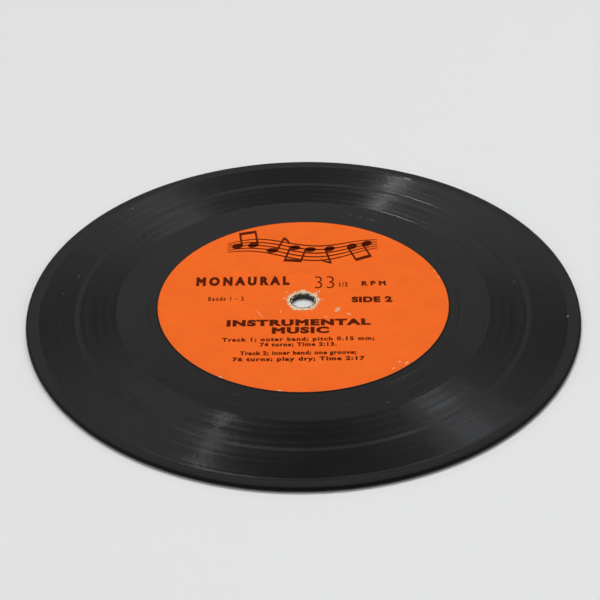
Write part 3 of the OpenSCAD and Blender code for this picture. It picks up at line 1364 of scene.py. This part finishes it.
# Soft lamps: azimuth and elevation in degrees, light on a level floor as a share of 1, width in
# degrees, colour, and the distance in mm of a lamp close by. A wide and a narrow one together
# light a streak that fades at its sides
LAMPS = (
    ("left_key", 111, 62, 0.168, 8, WARM_LIGHT),
    ("left_wide", 113, 62, 0.177, 20, PLAIN_LIGHT),
    ("left_streak", 204, 62, 0.055, 6, WARM_LIGHT),
    ("left_streak_wide", 206, 60, 0.022, 18, PLAIN_LIGHT),
    ("left_glint", 217.5, 48.5, 0.0035, 3, PLAIN_LIGHT),
    ("right_key", 60, 58, 0.087, 12, COOL_LIGHT),
    ("right_wide", 58, 58.5, 0.128, 30, COOL_LIGHT),
    ("right_streak", -15, 35, 0.012, 16, COOL_LIGHT, 800),
    ("right_streak_wide", -13, 35, 0.027, 34, COOL_LIGHT, 800),
)
# Light of the room towards its four sides, at these sines of the elevation
ROOM_HEIGHTS = (0.0, 0.2, 0.42, 0.6, 0.8, 1.0)
ROOM_SIDES = (
    ((0, 1), (0.3, 0.3, 0.34, 0.33, 0.18, 0.24)),
    ((0, -1), (0.06, 0.06, 0.06, 0.06, 0.06, 0.24)),
    ((-1, 0), (0.36, 0.58, 0.77, 0.75, 0.53, 0.24)),
    ((1, 0), (0.25, 0.39, 0.52, 0.5, 0.35, 0.24)),
)


def level_ramp(graph, height, levels):
    """The level at that height, between the levels given."""
    ramp = graph.node("ShaderNodeValToRGB", {"Fac": height})
    elements = ramp.color_ramp.elements
    while len(elements) < len(levels):
        elements.new(0.5)
    for element, place, level in zip(elements, ROOM_HEIGHTS, levels):
        element.position = place
        element.color = (level, level, level, 1)
    return graph.value("ShaderNodeSeparateColor", {0: Value(graph, ramp.outputs[0])})


def build_world():
    """A plain room: pale to the left, softer to the right and behind, dim overhead and in front."""
    world = bpy.data.worlds.new("Studio Room")
    world.use_nodes = True
    world.node_tree.nodes.clear()
    graph = Graph(world.node_tree)
    across, along, height = graph.parts(graph.value("ShaderNodeTexCoord", output="Generated"))
    flat = across * across + along * along
    total = 0.0
    for (side_x, side_y), levels in ROOM_SIDES:
        towards = graph.math("MAXIMUM", across * side_x + along * side_y, 0.0)
        total = graph.math("POWER", towards, 2.0) * level_ramp(graph, height, levels) + total
    strength = total / graph.math("MAXIMUM", flat, 0.000001)
    light = graph.value("ShaderNodeBackground", {"Strength": strength, "Color": (1, 1, 1, 1)})
    graph.node("ShaderNodeOutputWorld", {0: light})
    bpy.context.scene.world = world


def build_lamp(name, azimuth, elevation, level, width, tint, distance=None):
    """A lamp that lights a level floor by that share of 1: a disc at that distance, or a far sun."""
    up = math.radians(elevation)
    around = math.radians(azimuth)
    across = math.radians(width)
    facing = level * math.pi / math.sin(up)
    reach = 1.0
    if distance:
        reach = distance * MM
        lamp = bpy.data.lights.new(name, "AREA")
        lamp.shape = "DISK"
        lamp.size = 2 * reach * math.tan(across / 2)
        lamp.energy = facing * math.pi * reach ** 2
    else:
        lamp = bpy.data.lights.new(name, "SUN")
        lamp.angle = across
        lamp.energy = facing
    lamp.color = tint
    away = Vector((math.cos(around) * math.cos(up), math.sin(around) * math.cos(up), math.sin(up)))
    holder = link_object(name, lamp)
    holder.location = away * reach
    holder.rotation_euler = away.to_track_quat("Z", "Y").to_euler()
    holder.visible_camera = False


class RECORD_OT_studio(bpy.types.Operator):
    """Sets the floor, the room, the lamps and the camera"""

    bl_idname = "record.studio"
    bl_label = "Studio"

    def execute(self, context):
        disc, _, _, colours, studio = record_sizes(context)
        half = studio.floor_half
        corners = [(-half, -half, 0), (half, -half, 0), (half, half, 0), (-half, half, 0)]
        mesh = mesh_of("floor", corners, [(0, 1, 2, 3)])
        mesh.materials.append(floor_material(colours))
        link_object("floor", mesh)
        build_world()
        for lamp in LAMPS:
            build_lamp(*lamp)
        eye = Vector((0, -studio.camera_back, studio.camera_up + disc.disc_t))
        aim = Vector((studio.aim_x, studio.aim_y, disc.disc_t))
        camera = bpy.data.cameras.new("camera")
        camera.lens = studio.lens
        camera.clip_start = 0.01
        camera.clip_end = 100
        holder = link_object("camera", camera)
        turned = (aim - eye).to_track_quat("-Z", "Y").to_matrix().to_4x4()
        holder.matrix_world = Matrix.Translation(eye) @ turned @ Matrix.Rotation(studio.roll, 4, "Z")
        context.scene.camera = holder
        context.scene.view_settings.view_transform = "Standard"
        return {"FINISHED"}


OPERATORS = (
    RECORD_OT_studio, RECORD_OT_vinyl_body, RECORD_OT_grooved_rings,
    RECORD_OT_label_papers, RECORD_OT_label_prints,
)


class RECORD_PT_panel(bpy.types.Panel):
    """The record's pieces and sizes"""

    bl_label = "Seven Inch Record"
    bl_idname = "RECORD_PT_panel"
    bl_space_type = "VIEW_3D"
    bl_region_type = "UI"
    bl_category = "Record"

    def draw(self, context):
        for operator in OPERATORS:
            self.layout.operator(operator.bl_idname)
        for settings in record_sizes(context):
            box = self.layout.box()
            for name in settings.bl_rna.properties.keys():
                if name not in ("rna_type", "name"):
                    box.prop(settings, name)


def register():
    """Registers the settings, the operators and the panel."""
    for group, name in GROUPS:
        bpy.utils.register_class(group)
        setattr(bpy.types.Scene, name, bpy.props.PointerProperty(type=group))
    for operator in OPERATORS:
        bpy.utils.register_class(operator)
    bpy.utils.register_class(RECORD_PT_panel)


def unregister():
    """Takes away what register added."""
    bpy.utils.unregister_class(RECORD_PT_panel)
    for operator in reversed(OPERATORS):
        bpy.utils.unregister_class(operator)
    for group, name in reversed(GROUPS):
        delattr(bpy.types.Scene, name)
        bpy.utils.unregister_class(group)


def main():
    """Builds the record and its studio."""
    register()
    for operator in OPERATORS:
        group, name = operator.bl_idname.split(".")
        getattr(getattr(bpy.ops, group), name)()


if __name__ == "__main__":
    main()
